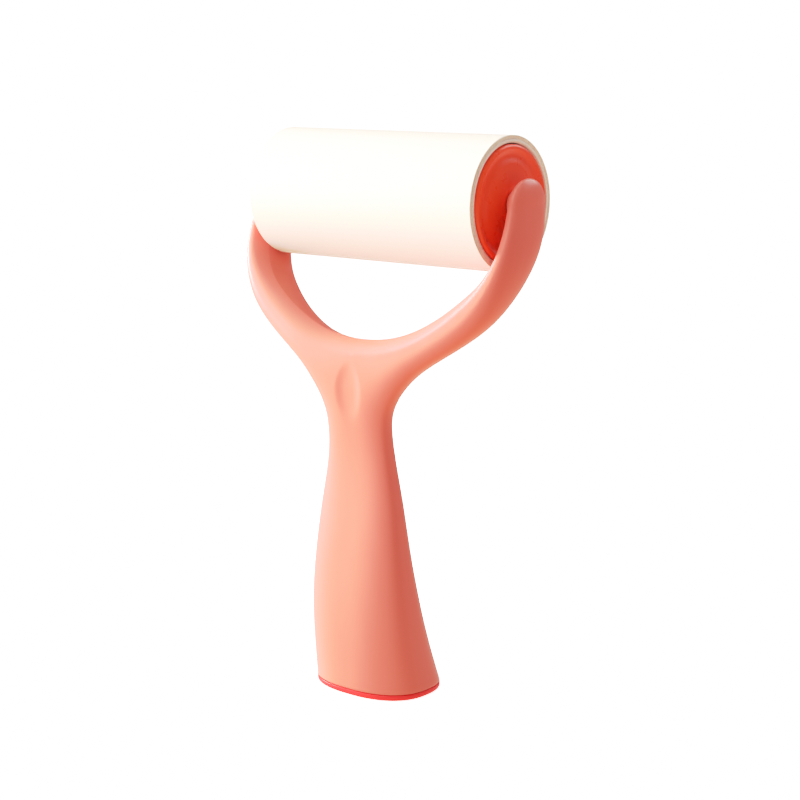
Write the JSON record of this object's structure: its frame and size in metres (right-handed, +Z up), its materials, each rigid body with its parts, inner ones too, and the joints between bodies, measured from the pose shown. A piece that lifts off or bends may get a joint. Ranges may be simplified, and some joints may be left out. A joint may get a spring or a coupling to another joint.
{
  "type": "lint roller",
  "caption": "Fork-handled lint roller: a roll of sticky paper turns on push-in end plugs between the arms of a moulded plastic handle that stands on its foot.",
  "frame": {"origin": "centre of the flat underside of the foot, on the table", "axes": "+Z up the handle; +X along the roll to the right arm; -Y is the front, with the thumb rest"},
  "size_m": [0.1208, 0.0538, 0.2017],
  "materials": {
    "handle_plastic": "satin",
    "cap_plastic": "satin",
    "plug_plastic": "satin gloss",
    "core_board": "matt",
    "wound_paper": "matt",
    "sticky_sheet": "slight sheen of adhesive"
  },
  "bodies": {
    "handle": {"fork_handle": "handle_plastic", "base_cap": "cap_plastic"},
    "roller": {"right_end_plug": "plug_plastic", "left_end_plug": "plug_plastic", "core_tube": "core_board", "tape_winding": "wound_paper", "outer_sheet": "sticky_sheet"}
  },
  "joints": [
    {"name": "roller_spin", "type": "hinge", "parent": "handle", "child": "roller", "pos_m": [0, 0.0109, 0.1783], "axis": [1, 0, 0], "continuous": true}
  ]
}
